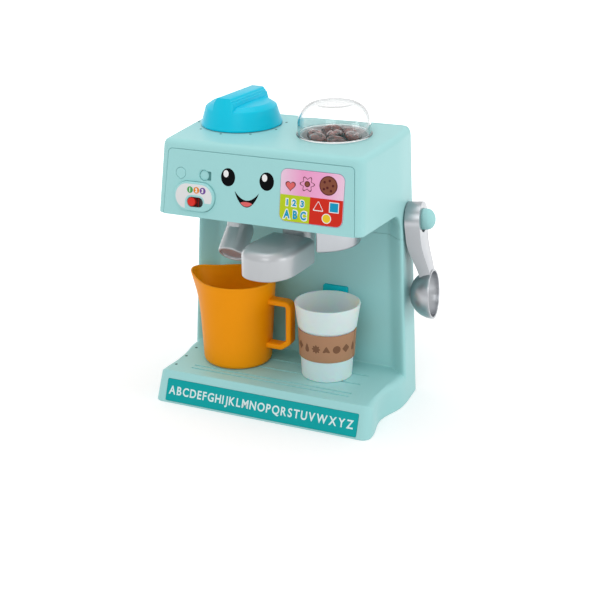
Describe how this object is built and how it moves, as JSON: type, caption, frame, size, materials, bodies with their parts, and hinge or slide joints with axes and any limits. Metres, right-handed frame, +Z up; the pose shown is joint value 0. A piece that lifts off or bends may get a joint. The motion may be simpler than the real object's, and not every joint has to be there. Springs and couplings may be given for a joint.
{
  "type": "toy coffee maker",
  "caption": "Child's pretend coffee maker with a smiling face, turning dial, bean window, swinging portafilter and wand, with its pitcher, cup and scoop.",
  "frame": {"origin": "middle of the base's underside: halfway across, and halfway from the base's front edge to the rear cover, on the surface the toy stands on", "axes": "+X to the right as seen by someone facing the printed front, +Y to the back, +Z up"},
  "size_m": [0.2873, 0.1814, 0.3347],
  "materials": {
    "mint_plastic": "satin moulded, pale mint green",
    "aqua_plastic": "satin moulded, bright aqua blue",
    "teal_plastic": "satin, teal",
    "silver_plastic": "moulded in a fine-flaked silver grey",
    "orange_plastic": "satin moulded, orange",
    "white_plastic": "satin moulded, white",
    "sleeve_card": "matt print on a tan band",
    "bean_plastic": "satin, dark brown",
    "clear_plastic": "clear, polished",
    "red_plastic": "satin, red",
    "display_print": "printed, clear coated",
    "dark_plastic": "matt, charcoal",
    "board_green": "solder mask with pale print",
    "rubber_foot": "matt",
    "cell_case": "printed jacket over a steel can",
    "contact_metal": "plated sheet",
    "screw_steel": "zinc plated"
  },
  "bodies": {
    "machine": {"head_shell": "mint_plastic", "lower_shell": "mint_plastic", "rear_cover": "mint_plastic", "base_plate": "mint_plastic", "front_panel": "mint_plastic", "round_lens": "mint_plastic", "mode_housing": "mint_plastic", "battery_door": "mint_plastic", "scoop_hook": "mint_plastic", "letter_strip": "teal_plastic", "grinder_chute": "silver_plastic", "bean_dish": "white_plastic", "mode_label": "white_plastic", "display_lamp": "white_plastic", "bean_1": "bean_plastic", "bean_2": "bean_plastic", "bean_3": "bean_plastic", "bean_4": "bean_plastic", "bean_5": "bean_plastic", "bean_6": "bean_plastic", "bean_7": "bean_plastic", "bean_dome": "clear_plastic", "display_window": "display_print", "mode_switch": "dark_plastic", "dial_detent": "dark_plastic", "battery_box": "dark_plastic", "speaker": "dark_plastic", "sensor_switch": "dark_plastic", "circuit_board": "board_green", "foot_1": "rubber_foot", "foot_2": "rubber_foot", "foot_3": "rubber_foot", "foot_4": "rubber_foot", "battery_1": "cell_case", "battery_2": "cell_case", "battery_3": "cell_case", "contact_left": "contact_metal", "contact_right": "contact_metal", "rear_screw_1": "screw_steel", "rear_screw_2": "screw_steel", "rear_screw_3": "screw_steel", "rear_screw_4": "screw_steel", "door_screw_1": "screw_steel", "door_screw_2": "screw_steel"},
    "dial": {"dial_knob": "aqua_plastic", "dial_spindle": "white_plastic", "dial_clip": "contact_metal"},
    "slider": {"mode_slider": "red_plastic"},
    "button": {"push_button": "mint_plastic"},
    "portafilter": {"portafilter": "silver_plastic", "portafilter_collar": "white_plastic"},
    "wand": {"steam_wand": "silver_plastic", "wand_collar": "white_plastic"},
    "sensor_tab": {"cup_sensor": "teal_plastic"},
    "scoop": {"scoop": "silver_plastic"},
    "pitcher": {"pitcher": "orange_plastic"},
    "cup": {"cup": "white_plastic", "cup_sleeve": "sleeve_card"}
  },
  "joints": [
    {"name": "dial_turn", "type": "hinge", "parent": "machine", "child": "dial", "pos_m": [-0.061, 0.01998, 0.29914], "axis": [0, -0.0469, 0.9989], "continuous": true},
    {"name": "mode_slide", "type": "slide", "parent": "machine", "child": "slider", "axis": [1, 0, 0], "range_m": [0, 0.0084]},
    {"name": "button_press", "type": "slide", "parent": "machine", "child": "button", "axis": [0, 0.9918, -0.1279], "range_m": [0, 0.0015], "stiffness_N_per_m": 400},
    {"name": "portafilter_swing", "type": "hinge", "parent": "machine", "child": "portafilter", "pos_m": [0.0184, -0.0084, 0.2], "axis": [0, 0, 1], "range_deg": [-20, 0]},
    {"name": "wand_swivel", "type": "hinge", "parent": "machine", "child": "wand", "pos_m": [-0.055, -0.0023, 0.2], "axis": [0, 0, 1], "range_deg": [-60, 0]},
    {"name": "sensor_press", "type": "slide", "parent": "machine", "child": "sensor_tab", "axis": [0, 1, 0], "range_m": [0, 0.003], "stiffness_N_per_m": 300},
    {"name": "scoop_off", "type": "slide", "parent": "machine", "child": "scoop", "axis": [0.9924, 0.0868, 0.0872], "range_m": [0, 0.06]},
    {"name": "pitcher_out", "type": "slide", "parent": "machine", "child": "pitcher", "axis": [0, -1, 0], "range_m": [0, 0.16]},
    {"name": "cup_out", "type": "slide", "parent": "machine", "child": "cup", "axis": [0, -1, 0], "range_m": [0, 0.16]}
  ]
}
